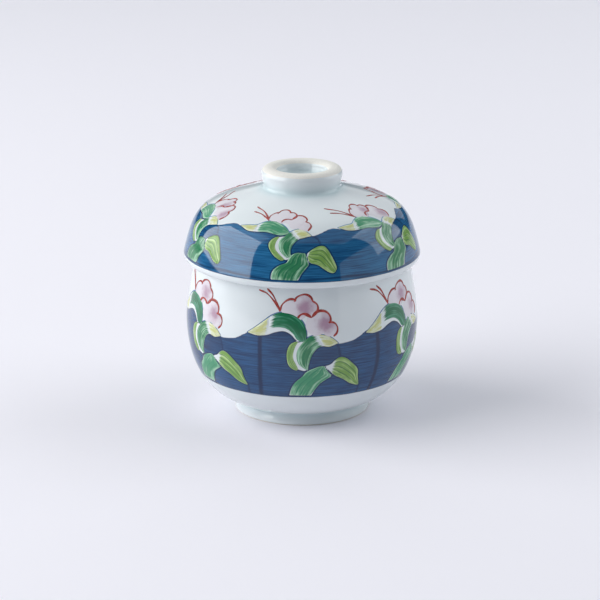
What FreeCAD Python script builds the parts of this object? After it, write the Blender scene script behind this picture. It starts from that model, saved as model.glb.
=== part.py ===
import FreeCAD, Part
import os

# A lidded porcelain steaming cup: a round-bellied bowl on a turned foot ring, and a lid that caps it.
# Both are thrown pieces, so each is one half section turned about Z.
# Millimetres, +Z up.  The origin is the centre of the foot ring's ground face.
# A point is (radius, height): its distance from the axis, and its height above the ground.

# --- bowl: foot ring ---
FOOT_RADIUS = 24.5          # outside of the foot where it meets the ground
FOOT_HEIGHT = 4.6           # ground to the corner between foot and body
FOOT_TAPER = 0.8            # how far the foot's outer wall leans in on its way up
FOOT_WALL = 3.2             # thickness of the ring at the ground
FOOT_ROUND = 0.7            # softened edges of the ground face
FOOT_NECK_ROUND = 0.8       # hollow corner between foot and body
RECESS_DEPTH = 3.4          # ground to the underside of the base, inside the ring
RECESS_ROUND = 1.2          # hollow corner under the base

# --- bowl: body ---
BELLY_RADIUS = 41.9         # widest place
BELLY_HEIGHT = 34.6
HIP_REACH = 11.0            # how far the underside runs out from the foot before it climbs
HIP_RISE = 2.4              # and how much it rises meanwhile
BELLY_FULLNESS = 17.0       # how long the wall stays near the belly's radius below it
SHOULDER_FULLNESS = 5.5     # the same above the belly
MOUTH_RADIUS = 38.2         # outside of the rim
MOUTH_HEIGHT = 61.0         # top of the rim
MOUTH_LEAN = 0.8            # how far the wall still leans in over its last stretch
MOUTH_RUN = 7.0             # length of that stretch
RIM_WALL = 2.3
RIM_ROUND = 0.6
BODY_WALL = 2.9             # wall at the belly
BASE_THICKNESS = 3.8        # under the middle of the bowl
WELL_REACH = 31.5           # how far the flat of the inside bottom runs out
WELL_FULLNESS = 20.5        # how long the inside wall stays near its widest below the belly

# --- lid: lip and seat ---
LIP_PLAY = 0.6              # gap between lip and bowl wall at the lip's lower edge
LIP_OVERLAP = 4.8           # how far the lip hangs below the bowl's rim
LIP_WALL = 3.2              # from the lip's inner face out to the lid's widest edge
LIP_DROP = 2.6              # the lip's rounded edge, from the widest edge down
LIP_ROUND = 0.8             # its inner edge, and the hollow corner at the ledge
SEAT_INSET = 0.3            # the ledge starts this far outside the bowl's inner rim edge

# --- lid: dome ---
DOME_HEIGHT = 21.2          # ledge to the place where the knob stands
DOME_LEAN = 4.2             # how far the dome's side leans in on its first climb
DOME_CLIMB = 18.6           # and how high that climb is
CROWN_REACH = 21.6          # how far the top of the dome runs out from the knob before it falls
CROWN_FALL = 6.3            # and how much it has fallen there
DOME_WALL = 3.2             # under the knob's foot
CEILING_LEAN = 1.6          # the same climb on the inside
CEILING_CLIMB = 13.0
CEILING_REACH = 24.5        # how far the flat of the ceiling runs out from the axis

# --- lid: ring knob ---
KNOB_RADIUS = 13.8          # outside of the ring where it stands on the dome
KNOB_FLARE = 0.8            # how much wider it is at the top
KNOB_HEIGHT = 7.5
KNOB_CREST = 11.5           # radius of the middle of the ring's top
KNOB_FLAT = 0.8             # width of the level stretch there
KNOB_ROUND = 2.4            # how far the ring's rounded top falls on each side
KNOB_BORE = 8.9             # inside of the ring where the round ends
KNOB_BORE_TAPER = 0.4       # how much narrower the hollow is at its bottom
KNOB_FOOT_ROUND = 1.3       # hollow corner between ring and dome
KNOB_HOLLOW_ROUND = 1.2     # hollow corner at the bottom of the hollow
KNOB_DEPTH = 4.4            # ring top to the bottom of the hollow inside it

BOW = 0.5523                # how far a cubic's handles reach towards its corner for a round bend


class Outline:
    """A half section that is drawn from one place on the axis to another, then turned about Z."""

    def __init__(self, radius, height):
        self.start = FreeCAD.Vector(radius, 0, height)
        self.here = self.start
        self.edges = []

    def line_to(self, radius, height):
        end = FreeCAD.Vector(radius, 0, height)
        self.edges.append(Part.makeLine(self.here, end))
        self.here = end

    def curve_to(self, leaving, arriving, end):
        """A cubic curve that sets off towards one point and comes in from another."""
        poles = [self.here] + [FreeCAD.Vector(radius, 0, height) for radius, height in (leaving, arriving, end)]
        curve = Part.BezierCurve()
        curve.setPoles(poles)
        self.edges.append(curve.toShape())
        self.here = poles[-1]

    def bend_to(self, corner, end):
        """A round bend inside a corner: both handles point at the corner."""
        start = (self.here.x, self.here.z)
        self.curve_to(between(start, corner, BOW), between(end, corner, BOW), end)

    def turned(self):
        self.edges.append(Part.makeLine(self.here, self.start))
        face = Part.Face(Part.Wire(self.edges))
        solid = face.revolve(FreeCAD.Vector(0, 0, 0), FreeCAD.Vector(0, 0, 1), 360)
        return solid if solid.Volume > 0 else solid.reversed()


def between(first, second, share):
    return tuple(a + (b - a) * share for a, b in zip(first, second))


def bezier(start, leaving, arriving, end, share):
    """The point at a share of the way along a cubic curve."""
    first = between(start, leaving, share)
    middle = between(leaving, arriving, share)
    last = between(arriving, end, share)
    return between(between(first, middle, share), between(middle, last, share), share)


def shoulder_handles():
    """The bowl's outer wall above the belly: its start, two handles and end."""
    return (
        (BELLY_RADIUS, BELLY_HEIGHT),
        (BELLY_RADIUS, BELLY_HEIGHT + SHOULDER_FULLNESS),
        (MOUTH_RADIUS + MOUTH_LEAN, MOUTH_HEIGHT - MOUTH_RUN),
        (MOUTH_RADIUS, MOUTH_HEIGHT - RIM_ROUND),
    )


def widest_under_lip():
    """The bowl's largest outer radius between the lip's lower edge and the rim."""
    lowest = MOUTH_HEIGHT - LIP_OVERLAP
    steps = 200
    points = [bezier(*shoulder_handles(), step / steps) for step in range(steps + 1)]
    return max(radius for radius, height in points if height >= lowest)


def make_bowl():
    recess_radius = FOOT_RADIUS - FOOT_WALL
    neck_radius = FOOT_RADIUS - FOOT_TAPER
    floor = RECESS_DEPTH + BASE_THICKNESS
    inner_mouth = MOUTH_RADIUS - RIM_WALL
    inner_belly = BELLY_RADIUS - BODY_WALL

    section = Outline(0, RECESS_DEPTH)
    section.line_to(recess_radius - RECESS_ROUND, RECESS_DEPTH)
    section.bend_to((recess_radius, RECESS_DEPTH), (recess_radius, RECESS_DEPTH - RECESS_ROUND))
    section.line_to(recess_radius, FOOT_ROUND)
    section.bend_to((recess_radius, 0), (recess_radius + FOOT_ROUND, 0))
    section.line_to(FOOT_RADIUS - FOOT_ROUND, 0)
    section.bend_to((FOOT_RADIUS, 0), (FOOT_RADIUS, FOOT_ROUND))
    section.line_to(neck_radius, FOOT_HEIGHT - FOOT_NECK_ROUND)
    section.bend_to((neck_radius, FOOT_HEIGHT), (neck_radius + FOOT_NECK_ROUND, FOOT_HEIGHT))
    section.curve_to(
        (neck_radius + HIP_REACH, FOOT_HEIGHT + HIP_RISE),
        (BELLY_RADIUS, BELLY_HEIGHT - BELLY_FULLNESS),
        (BELLY_RADIUS, BELLY_HEIGHT),
    )
    section.curve_to(*shoulder_handles()[1:])
    section.bend_to((MOUTH_RADIUS, MOUTH_HEIGHT), (MOUTH_RADIUS - RIM_ROUND, MOUTH_HEIGHT))
    section.line_to(inner_mouth + RIM_ROUND, MOUTH_HEIGHT)
    section.bend_to((inner_mouth, MOUTH_HEIGHT), (inner_mouth, MOUTH_HEIGHT - RIM_ROUND))
    section.curve_to(
        (inner_mouth + MOUTH_LEAN, MOUTH_HEIGHT - MOUTH_RUN),
        (inner_belly, BELLY_HEIGHT + SHOULDER_FULLNESS),
        (inner_belly, BELLY_HEIGHT),
    )
    section.curve_to((inner_belly, BELLY_HEIGHT - WELL_FULLNESS), (WELL_REACH, floor), (0, floor))
    return section.turned()


def make_lid():
    lip_radius = widest_under_lip() + LIP_PLAY
    edge_radius = lip_radius + LIP_WALL
    lip_bottom = MOUTH_HEIGHT - LIP_OVERLAP
    edge_height = lip_bottom + LIP_DROP
    ledge = MOUTH_HEIGHT
    seat_radius = MOUTH_RADIUS - RIM_WALL + SEAT_INSET
    dome_top = ledge + DOME_HEIGHT
    ceiling = dome_top - DOME_WALL
    knob_top = dome_top + KNOB_HEIGHT
    knob_outer = KNOB_RADIUS + KNOB_FLARE
    hollow_radius = KNOB_BORE - KNOB_BORE_TAPER
    hollow = knob_top - KNOB_DEPTH

    section = Outline(0, hollow)
    section.line_to(hollow_radius - KNOB_HOLLOW_ROUND, hollow)
    section.bend_to((hollow_radius, hollow), (hollow_radius, hollow + KNOB_HOLLOW_ROUND))
    section.line_to(KNOB_BORE, knob_top - KNOB_ROUND)
    section.bend_to((KNOB_BORE, knob_top), (KNOB_CREST - KNOB_FLAT / 2, knob_top))
    section.line_to(KNOB_CREST + KNOB_FLAT / 2, knob_top)
    section.bend_to((knob_outer, knob_top), (knob_outer, knob_top - KNOB_ROUND))
    section.line_to(KNOB_RADIUS, dome_top + KNOB_FOOT_ROUND)
    section.bend_to((KNOB_RADIUS, dome_top), (KNOB_RADIUS + KNOB_FOOT_ROUND, dome_top))
    section.curve_to(
        (KNOB_RADIUS + CROWN_REACH, dome_top - CROWN_FALL),
        (edge_radius - DOME_LEAN, edge_height + DOME_CLIMB),
        (edge_radius, edge_height),
    )
    section.bend_to((edge_radius, lip_bottom), (lip_radius + LIP_WALL / 2, lip_bottom))
    section.line_to(lip_radius + LIP_ROUND, lip_bottom)
    section.bend_to((lip_radius, lip_bottom), (lip_radius, lip_bottom + LIP_ROUND))
    section.line_to(lip_radius, ledge - LIP_ROUND)
    section.bend_to((lip_radius, ledge), (lip_radius - LIP_ROUND, ledge))
    section.line_to(seat_radius, ledge)
    section.curve_to((seat_radius - CEILING_LEAN, ledge + CEILING_CLIMB), (CEILING_REACH, ceiling), (0, ceiling))
    return section.turned()


def main():
    os.makedirs("parts", exist_ok=True)
    for node, solid in (("bowl", make_bowl()), ("lid", make_lid())):
        solid.exportStep(os.path.join("parts", node + ".step"))
        box = solid.BoundBox
        print(f"{node}: valid {solid.isValid()}, {solid.Volume / 1000:.1f} cm3, widest {box.XLength:.2f}, "
              f"heights {box.ZMin:.2f} to {box.ZMax:.2f}")


main()
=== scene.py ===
"""A lidded porcelain steaming cup, hand painted with leaves and blossoms over a cobalt wash.

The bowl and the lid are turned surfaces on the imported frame.  The wash lies under their glaze, so it is
part of their material; the leaves, petals and red lines are thin raised enamels, each a mesh of its own.
"""
import bpy
import math
import numpy as np
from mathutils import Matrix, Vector


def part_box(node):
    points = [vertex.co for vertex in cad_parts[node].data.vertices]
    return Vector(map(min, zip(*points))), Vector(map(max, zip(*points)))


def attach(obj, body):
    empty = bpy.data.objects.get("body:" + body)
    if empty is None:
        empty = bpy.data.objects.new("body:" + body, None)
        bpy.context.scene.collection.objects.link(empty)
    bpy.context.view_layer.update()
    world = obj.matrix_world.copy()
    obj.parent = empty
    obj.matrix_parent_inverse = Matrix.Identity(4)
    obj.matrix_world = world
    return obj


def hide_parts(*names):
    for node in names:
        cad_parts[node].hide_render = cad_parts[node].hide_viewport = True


bl_info = {
    "name": "Painted steaming cup",
    "version": (1, 0, 0),
    "blender": (4, 5, 0),
    "location": "3D View > Sidebar > Cup",
    "description": "Builds a lidded porcelain steaming cup with underglaze wash and overglaze enamels",
    "category": "Object",
}

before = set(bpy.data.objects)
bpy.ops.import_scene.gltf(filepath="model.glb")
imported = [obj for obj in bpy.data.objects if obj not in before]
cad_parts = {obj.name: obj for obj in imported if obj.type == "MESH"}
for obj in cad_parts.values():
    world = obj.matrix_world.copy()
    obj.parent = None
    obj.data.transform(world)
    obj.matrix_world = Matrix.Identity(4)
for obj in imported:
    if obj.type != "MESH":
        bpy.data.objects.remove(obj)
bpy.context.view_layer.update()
MM = 0.001
BOW = 0.5523            # how far a cubic's handles reach towards its corner for a round bend
AXIS = 0.5 * MM         # radius of the ring next to a pole
COLUMNS = 540           # places round a turned body
REPEATS = 6             # times the motif goes round each body
FAR = 9.0               # a distance, in mm, that stands for well away from any drawn edge
OVERHANG = 7.0          # how far, in mm, a motif may reach past its own share of the round
GROWTH = 0.022          # how much the painter's repeats differ in size, as a share
SWAY = 0.5              # how far, in mm, they bend


# ---------------------------------------------------------------- sizes and colours

def length(name, description, default):
    return bpy.props.FloatProperty(name=name, description=description, default=default,
                                   unit="LENGTH", precision=5)


def colour(name, description, default):
    return bpy.props.FloatVectorProperty(name=name, description=description, default=default,
                                         subtype="COLOR", size=3, min=0.0, max=1.0)


class BowlSizes(bpy.types.PropertyGroup):
    foot_radius: length("Foot radius", "Outside of the foot ring at the ground", 24.5 * MM)
    foot_height: length("Foot height", "Ground to the corner between foot and body", 4.6 * MM)
    foot_taper: length("Foot taper", "How far the foot leans in on its way up", 0.8 * MM)
    foot_wall: length("Foot wall", "Thickness of the ring at the ground", 3.2 * MM)
    foot_round: length("Foot round", "Softened edges of the ground face", 0.7 * MM)
    neck_round: length("Neck round", "Hollow corner between foot and body", 0.8 * MM)
    recess_depth: length("Recess depth", "Ground to the underside of the base", 3.4 * MM)
    recess_round: length("Recess round", "Hollow corner under the base", 1.2 * MM)
    belly_radius: length("Belly radius", "Widest place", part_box("bowl")[1].x)
    belly_height: length("Belly height", "Height of the widest place", 34.6 * MM)
    hip_reach: length("Hip reach", "How far the underside runs out before it climbs", 11.0 * MM)
    hip_rise: length("Hip rise", "How much it rises meanwhile", 2.4 * MM)
    belly_fullness: length("Belly fullness", "How long the wall stays wide below the belly", 17.0 * MM)
    shoulder_fullness: length("Shoulder fullness", "The same above the belly", 5.5 * MM)
    mouth_radius: length("Mouth radius", "Outside of the rim", 38.2 * MM)
    mouth_height: length("Mouth height", "Top of the rim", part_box("bowl")[1].z)
    mouth_lean: length("Mouth lean", "How far the wall leans in over its last stretch", 0.8 * MM)
    mouth_run: length("Mouth run", "Length of that stretch", 7.0 * MM)
    rim_wall: length("Rim wall", "Thickness at the rim", 2.3 * MM)
    rim_round: length("Rim round", "Softened edges of the rim", 0.6 * MM)
    body_wall: length("Body wall", "Thickness at the belly", 2.9 * MM)
    base_thickness: length("Base thickness", "Thickness under the middle", 3.8 * MM)
    well_reach: length("Well reach", "How far the flat of the inside bottom runs out", 31.5 * MM)
    well_fullness: length("Well fullness", "How long the inside stays wide below the belly", 20.5 * MM)
    band_height: length("Band height", "Lower edge of the blue band", 15.4 * MM)


class LidSizes(bpy.types.PropertyGroup):
    lip_radius: length("Lip radius", "Inner face of the lip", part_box("lid")[1].x - 3.2 * MM)
    lip_wall: length("Lip wall", "From there out to the widest edge", 3.2 * MM)
    lip_overlap: length("Lip overlap", "How far the lip hangs below the bowl's rim", 4.8 * MM)
    lip_drop: length("Lip drop", "The lip's rounded edge, from the widest edge down", 2.6 * MM)
    lip_round: length("Lip round", "Its inner edge, and the hollow corner at the ledge", 0.8 * MM)
    seat_inset: length("Seat inset", "How far outside the bowl's inner rim edge the ledge starts", 0.3 * MM)
    dome_height: length("Dome height", "Ledge to the place where the knob stands", 21.2 * MM)
    dome_lean: length("Dome lean", "How far the side leans in on its first climb", 4.2 * MM)
    dome_climb: length("Dome climb", "How high that climb is", 18.6 * MM)
    crown_reach: length("Crown reach", "How far the top runs out from the knob before it falls", 21.6 * MM)
    crown_fall: length("Crown fall", "How much it has fallen there", 6.3 * MM)
    dome_wall: length("Dome wall", "Thickness under the knob's foot", 3.2 * MM)
    ceiling_lean: length("Ceiling lean", "How far the inside leans in on its climb", 1.6 * MM)
    ceiling_climb: length("Ceiling climb", "How high that climb is", 13.0 * MM)
    ceiling_reach: length("Ceiling reach", "How far the flat of the ceiling runs out", 24.5 * MM)
    knob_radius: length("Knob radius", "Outside of the ring where it stands on the dome", 13.8 * MM)
    knob_flare: length("Knob flare", "How much wider it is at the top", 0.8 * MM)
    knob_crest: length("Knob crest", "Radius of the middle of the ring's top", 11.5 * MM)
    knob_flat: length("Knob flat", "Width of the level stretch there", 0.8 * MM)
    knob_round: length("Knob round", "How far the ring's rounded top falls on each side", 2.4 * MM)
    knob_bore: length("Knob bore", "Inside of the ring where the round ends", 8.9 * MM)
    knob_bore_taper: length("Knob bore taper", "How much narrower the hollow is at its bottom", 0.4 * MM)
    knob_foot_round: length("Knob foot round", "Hollow corner between ring and dome", 1.3 * MM)
    knob_hollow_round: length("Knob hollow round", "Hollow corner at the bottom of the hollow", 1.2 * MM)
    knob_depth: length("Knob depth", "Ring top to the bottom of the hollow inside it", 4.4 * MM)
    bare_rim: length("Bare rim", "How far down the knob's rim the glaze was wiped off", 1.4 * MM)


class CupColours(bpy.types.PropertyGroup):
    glaze: colour("Glaze", "Bluish white glaze", (0.72, 0.765, 0.785))
    pooled: colour("Pooled glaze", "Where the glaze runs thick in a corner", (0.58, 0.69, 0.72))
    bare: colour("Bare clay", "Fired clay without glaze", (0.80, 0.775, 0.72))
    toasted: colour("Toasted clay", "Where the clay browned beside the glaze", (0.62, 0.50, 0.36))
    bowl_deep: colour("Bowl's deep wash", "Cobalt where the brush was full", (0.0025, 0.025, 0.092))
    bowl_thin: colour("Bowl's thin wash", "Cobalt where the brush ran dry", (0.020, 0.108, 0.275))
    lid_deep: colour("Lid's deep wash", "Cobalt where the brush was full", (0.004, 0.050, 0.150))
    lid_thin: colour("Lid's thin wash", "Cobalt where the brush ran dry", (0.030, 0.195, 0.400))
    wash_line: colour("Wash line", "Cobalt line work", (0.003, 0.018, 0.070))
    leaf_deep: colour("Deep green", "Thick leaf green", (0.012, 0.150, 0.062))
    leaf_half: colour("Half green", "Leaf green laid thinner", (0.036, 0.208, 0.090))
    leaf_mid: colour("Middle green", "Leaf green laid thin", (0.085, 0.32, 0.20))
    leaf_fresh: colour("Fresh green", "A brighter leaf green", (0.055, 0.285, 0.145))
    leaf_thin: colour("Thin green", "Leaf green over white", (0.36, 0.61, 0.42))
    vein: colour("Veins", "Lines drawn under the leaf enamels", (0.010, 0.085, 0.070))
    lime_deep: colour("Deep lime", "Thick yellow green", (0.185, 0.35, 0.080))
    lime_thin: colour("Thin lime", "Yellow green over white", (0.46, 0.62, 0.27))
    yellow_deep: colour("Deep yellow", "Thick yellow", (0.56, 0.58, 0.24))
    yellow_thin: colour("Thin yellow", "Yellow over white", (0.70, 0.74, 0.58))
    petal_pale: colour("Pale petal", "Petal wash at the edge", (0.70, 0.665, 0.715))
    petal_blush: colour("Petal blush", "Petal wash in the heart of a lobe", (0.42, 0.27, 0.36))
    iron_red: colour("Iron red", "Red line work", (0.30, 0.040, 0.032))
    floor: colour("Floor", "The pale table", (0.905, 0.880, 0.935))


class StageSizes(bpy.types.PropertyGroup):
    distance: length("Camera distance", "From the camera to its aim", 0.943)
    elevation: bpy.props.FloatProperty(name="Elevation", description="Camera's height above the horizon",
                                       default=math.radians(16.93), subtype="ANGLE")
    aim_height: length("Aim height", "Height of the camera's aim on the cup", 39.7 * MM)
    aim_side: length("Aim side", "How far beside the axis the aim lies", -0.73 * MM)
    focal: bpy.props.FloatProperty(name="Focal length", description="Camera lens in millimetres",
                                   default=156.0)
    floor_size: length("Floor size", "Side of the square floor", 12.0)


# ---------------------------------------------------------------- turned outlines and walls

class Outline:
    """A half section drawn as points (radius, height), finer where it will be painted."""

    def __init__(self, radius, height):
        self.points = np.array([[radius, height]])

    def _join(self, points):
        self.points = np.vstack([self.points, points[1:]])

    def line_to(self, radius, height, steps=3):
        """Evenly spaced points on a straight run."""
        share = np.linspace(0, 1, steps + 1)[:, None]
        self._join(self.points[-1] * (1 - share) + np.array([radius, height]) * share)

    def curve_to(self, leaving, arriving, end, steps=24):
        """A cubic Bezier curve: the four points weighted by the terms of ((1 - t) + t) cubed,
        and then spaced evenly along its length."""
        share = np.linspace(0, 1, 400)[:, None]
        rest = 1 - share
        line = (rest ** 3 * self.points[-1] + 3 * rest ** 2 * share * np.array(leaving)
                + 3 * rest * share ** 2 * np.array(arriving) + share ** 3 * np.array(end))
        self._join(even_steps(line, steps))

    def bend_to(self, corner, end, steps=5):
        """A round bend inside a corner: both handles point at the corner."""
        start, corner, end = self.points[-1], np.array(corner), np.array(end)
        self.curve_to(start + (corner - start) * BOW, end + (corner - end) * BOW, end, steps)


def run_length(line):
    """Distance along a line of points, from its first point to each."""
    return np.concatenate([[0.0], np.cumsum(np.linalg.norm(np.diff(line, axis=0), axis=1))])


def even_steps(line, steps):
    """Points at even distances along a line."""
    along = run_length(line)
    wanted = np.linspace(0, along[-1], steps + 1)
    return np.stack([np.interp(wanted, along, line[:, axis]) for axis in range(line.shape[1])], axis=1)


def bowl_outline(s):
    """The bowl's half section, from the axis under the base, out round the foot and over the rim to the
    axis inside, and which of its points are the painted wall's."""
    recess = s.foot_radius - s.foot_wall
    neck = s.foot_radius - s.foot_taper
    floor = s.recess_depth + s.base_thickness
    inner_mouth = s.mouth_radius - s.rim_wall
    inner_belly = s.belly_radius - s.body_wall
    line = Outline(AXIS, s.recess_depth)
    line.line_to(recess - s.recess_round, s.recess_depth, 4)
    line.bend_to((recess, s.recess_depth), (recess, s.recess_depth - s.recess_round))
    line.line_to(recess, s.foot_round, 2)
    line.bend_to((recess, 0), (recess + s.foot_round, 0), 3)
    line.line_to(s.foot_radius - s.foot_round, 0, 2)
    line.bend_to((s.foot_radius, 0), (s.foot_radius, s.foot_round), 4)
    line.line_to(neck, s.foot_height - s.neck_round, 3)
    line.bend_to((neck, s.foot_height), (neck + s.neck_round, s.foot_height), 5)
    wall_start = len(line.points) - 1
    line.curve_to((neck + s.hip_reach, s.foot_height + s.hip_rise),
                  (s.belly_radius, s.belly_height - s.belly_fullness), (s.belly_radius, s.belly_height), 62)
    line.curve_to((s.belly_radius, s.belly_height + s.shoulder_fullness),
                  (s.mouth_radius + s.mouth_lean, s.mouth_height - s.mouth_run),
                  (s.mouth_radius, s.mouth_height - s.rim_round), 50)
    wall_end = len(line.points)
    line.bend_to((s.mouth_radius, s.mouth_height), (s.mouth_radius - s.rim_round, s.mouth_height), 4)
    line.line_to(inner_mouth + s.rim_round, s.mouth_height, 1)
    line.bend_to((inner_mouth, s.mouth_height), (inner_mouth, s.mouth_height - s.rim_round), 4)
    line.curve_to((inner_mouth + s.mouth_lean, s.mouth_height - s.mouth_run),
                  (inner_belly, s.belly_height + s.shoulder_fullness), (inner_belly, s.belly_height), 9)
    line.curve_to((inner_belly, s.belly_height - s.well_fullness), (s.well_reach, floor), (AXIS, floor), 20)
    return line.points, slice(wall_start, wall_end)


def lid_outline(s, bowl):
    """The lid's half section, from the axis in the knob's hollow, out over the knob and dome, round the
    lip and back under the dome to the axis, and which of its points are the painted wall's."""
    edge = s.lip_radius + s.lip_wall
    bottom = bowl.mouth_height - s.lip_overlap
    ledge = bowl.mouth_height
    seat = bowl.mouth_radius - bowl.rim_wall + s.seat_inset
    dome = ledge + s.dome_height
    ceiling = dome - s.dome_wall
    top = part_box("lid")[1].z
    outer = s.knob_radius + s.knob_flare
    hollow = s.knob_bore - s.knob_bore_taper
    line = Outline(AXIS, top - s.knob_depth)
    line.line_to(hollow - s.knob_hollow_round, top - s.knob_depth, 3)
    line.bend_to((hollow, top - s.knob_depth), (hollow, top - s.knob_depth + s.knob_hollow_round))
    line.line_to(s.knob_bore, top - s.knob_round, 2)
    line.bend_to((s.knob_bore, top), (s.knob_crest - s.knob_flat / 2, top), 9)
    line.line_to(s.knob_crest + s.knob_flat / 2, top, 1)
    line.bend_to((outer, top), (outer, top - s.knob_round), 9)
    line.line_to(s.knob_radius, dome + s.knob_foot_round, 8)
    line.bend_to((s.knob_radius, dome), (s.knob_radius + s.knob_foot_round, dome))
    wall_start = len(line.points) - 1
    line.curve_to((s.knob_radius + s.crown_reach, dome - s.crown_fall),
                  (edge - s.dome_lean, bottom + s.lip_drop + s.dome_climb), (edge, bottom + s.lip_drop), 92)
    wall_end = len(line.points)
    line.bend_to((edge, bottom), (s.lip_radius + s.lip_wall / 2, bottom), 7)
    line.line_to(s.lip_radius + s.lip_round, bottom, 1)
    line.bend_to((s.lip_radius, bottom), (s.lip_radius, bottom + s.lip_round), 4)
    line.line_to(s.lip_radius, ledge - s.lip_round, 2)
    line.bend_to((s.lip_radius, ledge), (s.lip_radius - s.lip_round, ledge), 4)
    line.line_to(seat, ledge, 2)
    line.curve_to((seat - s.ceiling_lean, ledge + s.ceiling_climb), (s.ceiling_reach, ceiling),
                  (AXIS, ceiling), 20)
    return line.points, slice(wall_start, wall_end)


class Wall:
    """The painted stretch of a turned surface.  A place on it is (along, up) in metres: along is
    measured round the widest circle from the front, and up is measured on the wall from the blue band's
    lower edge."""

    def __init__(self, outline, band_height, round_radius):
        if outline[0, 1] > outline[-1, 1]:
            outline = outline[::-1]
        self.outline = outline
        self.up = run_length(outline)
        self.up = self.up - np.interp(band_height, outline[:, 1], self.up)
        self.round_radius = round_radius
        slope = np.gradient(outline, self.up, axis=0)
        self.normal = np.stack([slope[:, 1], -slope[:, 0]], axis=1)
        self.normal /= np.linalg.norm(self.normal, axis=1)[:, None]

    def repeat(self, index):
        """How far round the wall, in metres, one repeat of the motif stands from the front one."""
        return self.round_radius * index * 2 * math.pi / REPEATS

    def place(self, along, up, lift):
        """Points on the wall, lifted off it along its normal: the outline's radius and height at each
        distance up, turned to the angle that the distance round stands for."""
        angle = along / self.round_radius
        radius, height, outward, upward = (
            np.interp(up, self.up, values)
            for values in (self.outline[:, 0], self.outline[:, 1], self.normal[:, 0], self.normal[:, 1]))
        radius = radius + outward * lift
        return np.stack([radius * np.sin(angle), -radius * np.cos(angle), height + upward * lift], axis=-1)


# ---------------------------------------------------------------- meshes from closed lattices

def lattice_faces(rows, around):
    """Faces of a tube of rows, each a closed ring of points, with a fan from each end ring to a pole.
    The points are ring by ring, and then the two poles."""
    row = np.arange(rows - 1)[:, None] * around
    here, there = np.arange(around)[None, :], np.roll(np.arange(around), -1)[None, :]
    quads = np.stack([row + here, row + there, row + around + there, row + around + here], axis=-1)
    ring = np.arange(around)
    first = np.full(around, rows * around)
    last_row = (rows - 1) * around
    start = np.stack([first, np.roll(ring, -1), ring], axis=-1)
    end = np.stack([first + 1, last_row + ring, last_row + np.roll(ring, -1)], axis=-1)
    return quads.reshape(-1, 4), np.vstack([start, end])


def signed_volume(points, triangles):
    """Six times the volume that triangles enclose, positive where they face outwards."""
    a, b, c = (points[triangles[:, corner]] for corner in range(3))
    return np.einsum("ij,ij->i", a, np.cross(b, c)).sum()


class Shell:
    """One closed skin: its points, its faces turned outwards, and numbers for each point."""

    def __init__(self, rings, poles, values):
        rows, around = rings.shape[:2]
        self.points = np.vstack([rings.reshape(-1, 3), poles])
        self.quads, self.fans = lattice_faces(rows, around)
        triangles = np.vstack([self.quads[:, :3], self.quads[:, [0, 2, 3]], self.fans])
        centred = self.points - self.points.mean(axis=0)
        if signed_volume(centred, triangles) < 0:
            self.quads, self.fans = self.quads[:, ::-1], self.fans[:, ::-1]
        self.values = {name: np.concatenate([grid.reshape(-1), grid[[0, -1]].mean(axis=1)])
                       for name, grid in values.items()}


def build_piece(name, shells, material, body):
    """Joins shells into one smooth mesh object that rides on a body."""
    starts = np.cumsum([0] + [len(shell.points) for shell in shells[:-1]])
    points = np.vstack([shell.points for shell in shells])
    quads = np.vstack([shell.quads + start for shell, start in zip(shells, starts)])
    fans = np.vstack([shell.fans + start for shell, start in zip(shells, starts)])
    mesh = bpy.data.meshes.new(name)
    mesh.vertices.add(len(points))
    mesh.vertices.foreach_set("co", points.astype(np.float32).ravel())
    mesh.loops.add(quads.size + fans.size)
    mesh.loops.foreach_set("vertex_index", np.concatenate([quads.ravel(), fans.ravel()]).astype(np.int32))
    mesh.polygons.add(len(quads) + len(fans))
    sides = np.concatenate([np.full(len(quads), 4), np.full(len(fans), 3)])
    mesh.polygons.foreach_set("loop_start", (np.cumsum(sides) - sides).astype(np.int32))
    mesh.polygons.foreach_set("use_smooth", np.ones(len(sides), bool))
    for value in shells[0].values:
        attribute = mesh.attributes.new(value, "FLOAT", "POINT")
        joined = np.concatenate([shell.values[value] for shell in shells])
        attribute.data.foreach_set("value", joined.astype(np.float32))
    mesh.update(calc_edges=True)
    mesh.validate()
    mesh.materials.append(material)
    piece = bpy.data.objects.new(name, mesh)
    bpy.context.scene.collection.objects.link(piece)
    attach(piece, body)
    return piece


# ---------------------------------------------------------------- the motif

class Leaf:
    """A painted leaf: two edges from its base to its tip, in mm on the wall, and its enamels.  An
    enamel is (kind, along from, along to, strip from, strip to), in shares of the leaf: a strip beside
    the lower edge stays bare, as wide at the enamel's start and at its end as the last two say."""

    def __init__(self, lower, upper, *enamels):
        self.lower, self.upper = lower, upper
        self.enamels = enamels


class Motif:
    """Everything the painter repeats round one body.  Places are (along, up) in mm on the wall."""

    def __init__(self, leaves, folds, pockets, strokes, wash_edge, petals, blush, red_lines, seed):
        self.leaves = leaves            # leaves with enamel
        self.folds = folds              # the same, left white
        self.pockets = pockets          # closed outlines where the wash is darker
        self.strokes = strokes          # dark strokes in the wash: half width and places
        self.wash_edge = wash_edge      # upper edge of the wash, over one repeat
        self.petals = petals            # circles whose union is a flower, around a middle
        self.blush = blush              # how strong the blushes are on the front repeat's petals
        self.red_lines = red_lines      # half width and places
        self.seed = seed


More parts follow.
